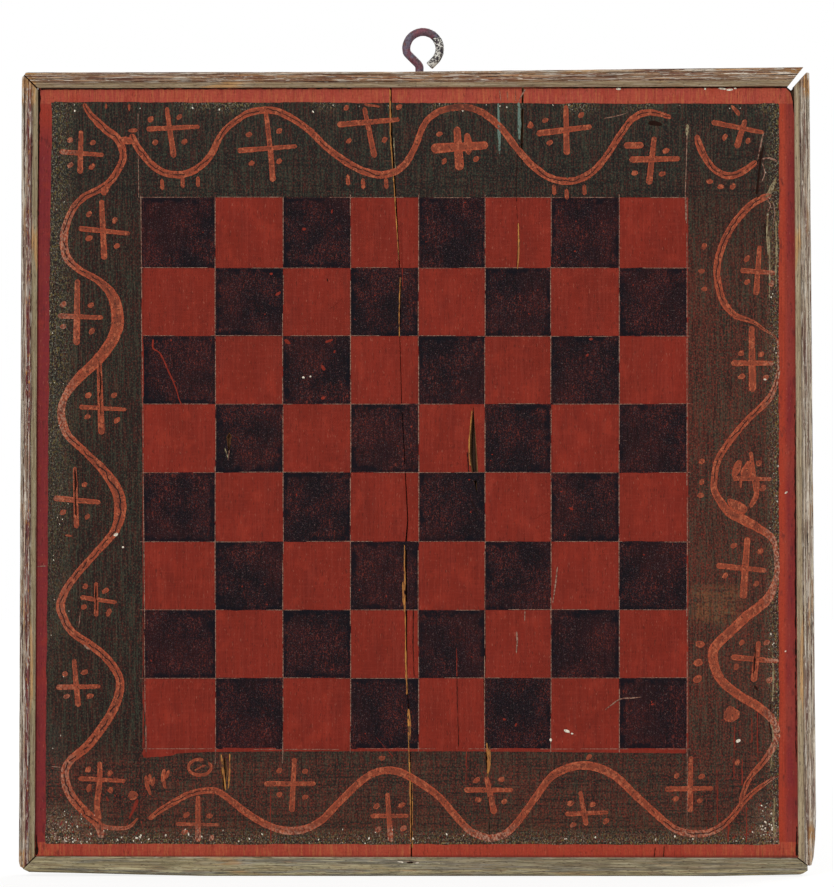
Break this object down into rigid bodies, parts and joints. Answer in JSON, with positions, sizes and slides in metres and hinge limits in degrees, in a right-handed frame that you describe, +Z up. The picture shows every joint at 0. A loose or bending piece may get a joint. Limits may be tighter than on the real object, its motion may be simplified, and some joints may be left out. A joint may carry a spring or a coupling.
{
  "type": "checkerboard",
  "caption": "Painted wooden checkerboard with a wide dark border inside reeded edge mouldings, stiffened by battens and hung from an open screw hook that turns in its top edge.",
  "frame": {"origin": "centre of the screw hook's eye, on the centreline of its wire", "axes": "+Z up as the board hangs, +X to the viewer's right across the painted face, +Y from the face into the wall"},
  "size_m": [0.4462, 0.034, 0.4754],
  "materials": {
    "bare_pine": "aged bare pine",
    "batten_pine": "aged bare pine, planed",
    "worn_olive_paint": "olive oil paint worn to the wood",
    "red_oil_paint": "dull brick red oil paint",
    "dark_green_oil_paint": "dull dark green oil paint",
    "black_oil_paint": "dull black oil paint",
    "cut_iron": "rusted",
    "rusted_iron": "rusted wire, flaked white paint"
  },
  "bodies": {
    "root": {"left_board": "bare_pine", "right_board": "bare_pine", "top_moulding": "worn_olive_paint", "left_moulding": "worn_olive_paint", "right_moulding": "worn_olive_paint", "bottom_moulding": "worn_olive_paint", "upper_batten": "batten_pine", "lower_batten": "batten_pine", "top_moulding_brads": "cut_iron", "left_moulding_brads": "cut_iron", "right_moulding_brads": "cut_iron", "bottom_moulding_brads": "cut_iron", "upper_batten_nails": "cut_iron", "lower_batten_nails": "cut_iron", "red_ground": "red_oil_paint", "dark_border": "dark_green_oil_paint", "dark_squares": "black_oil_paint"},
    "hook": {"screw_hook": "rusted_iron"}
  },
  "joints": [
    {"name": "hook_turn", "type": "hinge", "parent": "root", "child": "hook", "pos_m": [-0.002, 0, -0.02], "axis": [0, 0, 1], "range_deg": [-90, 90]}
  ]
}
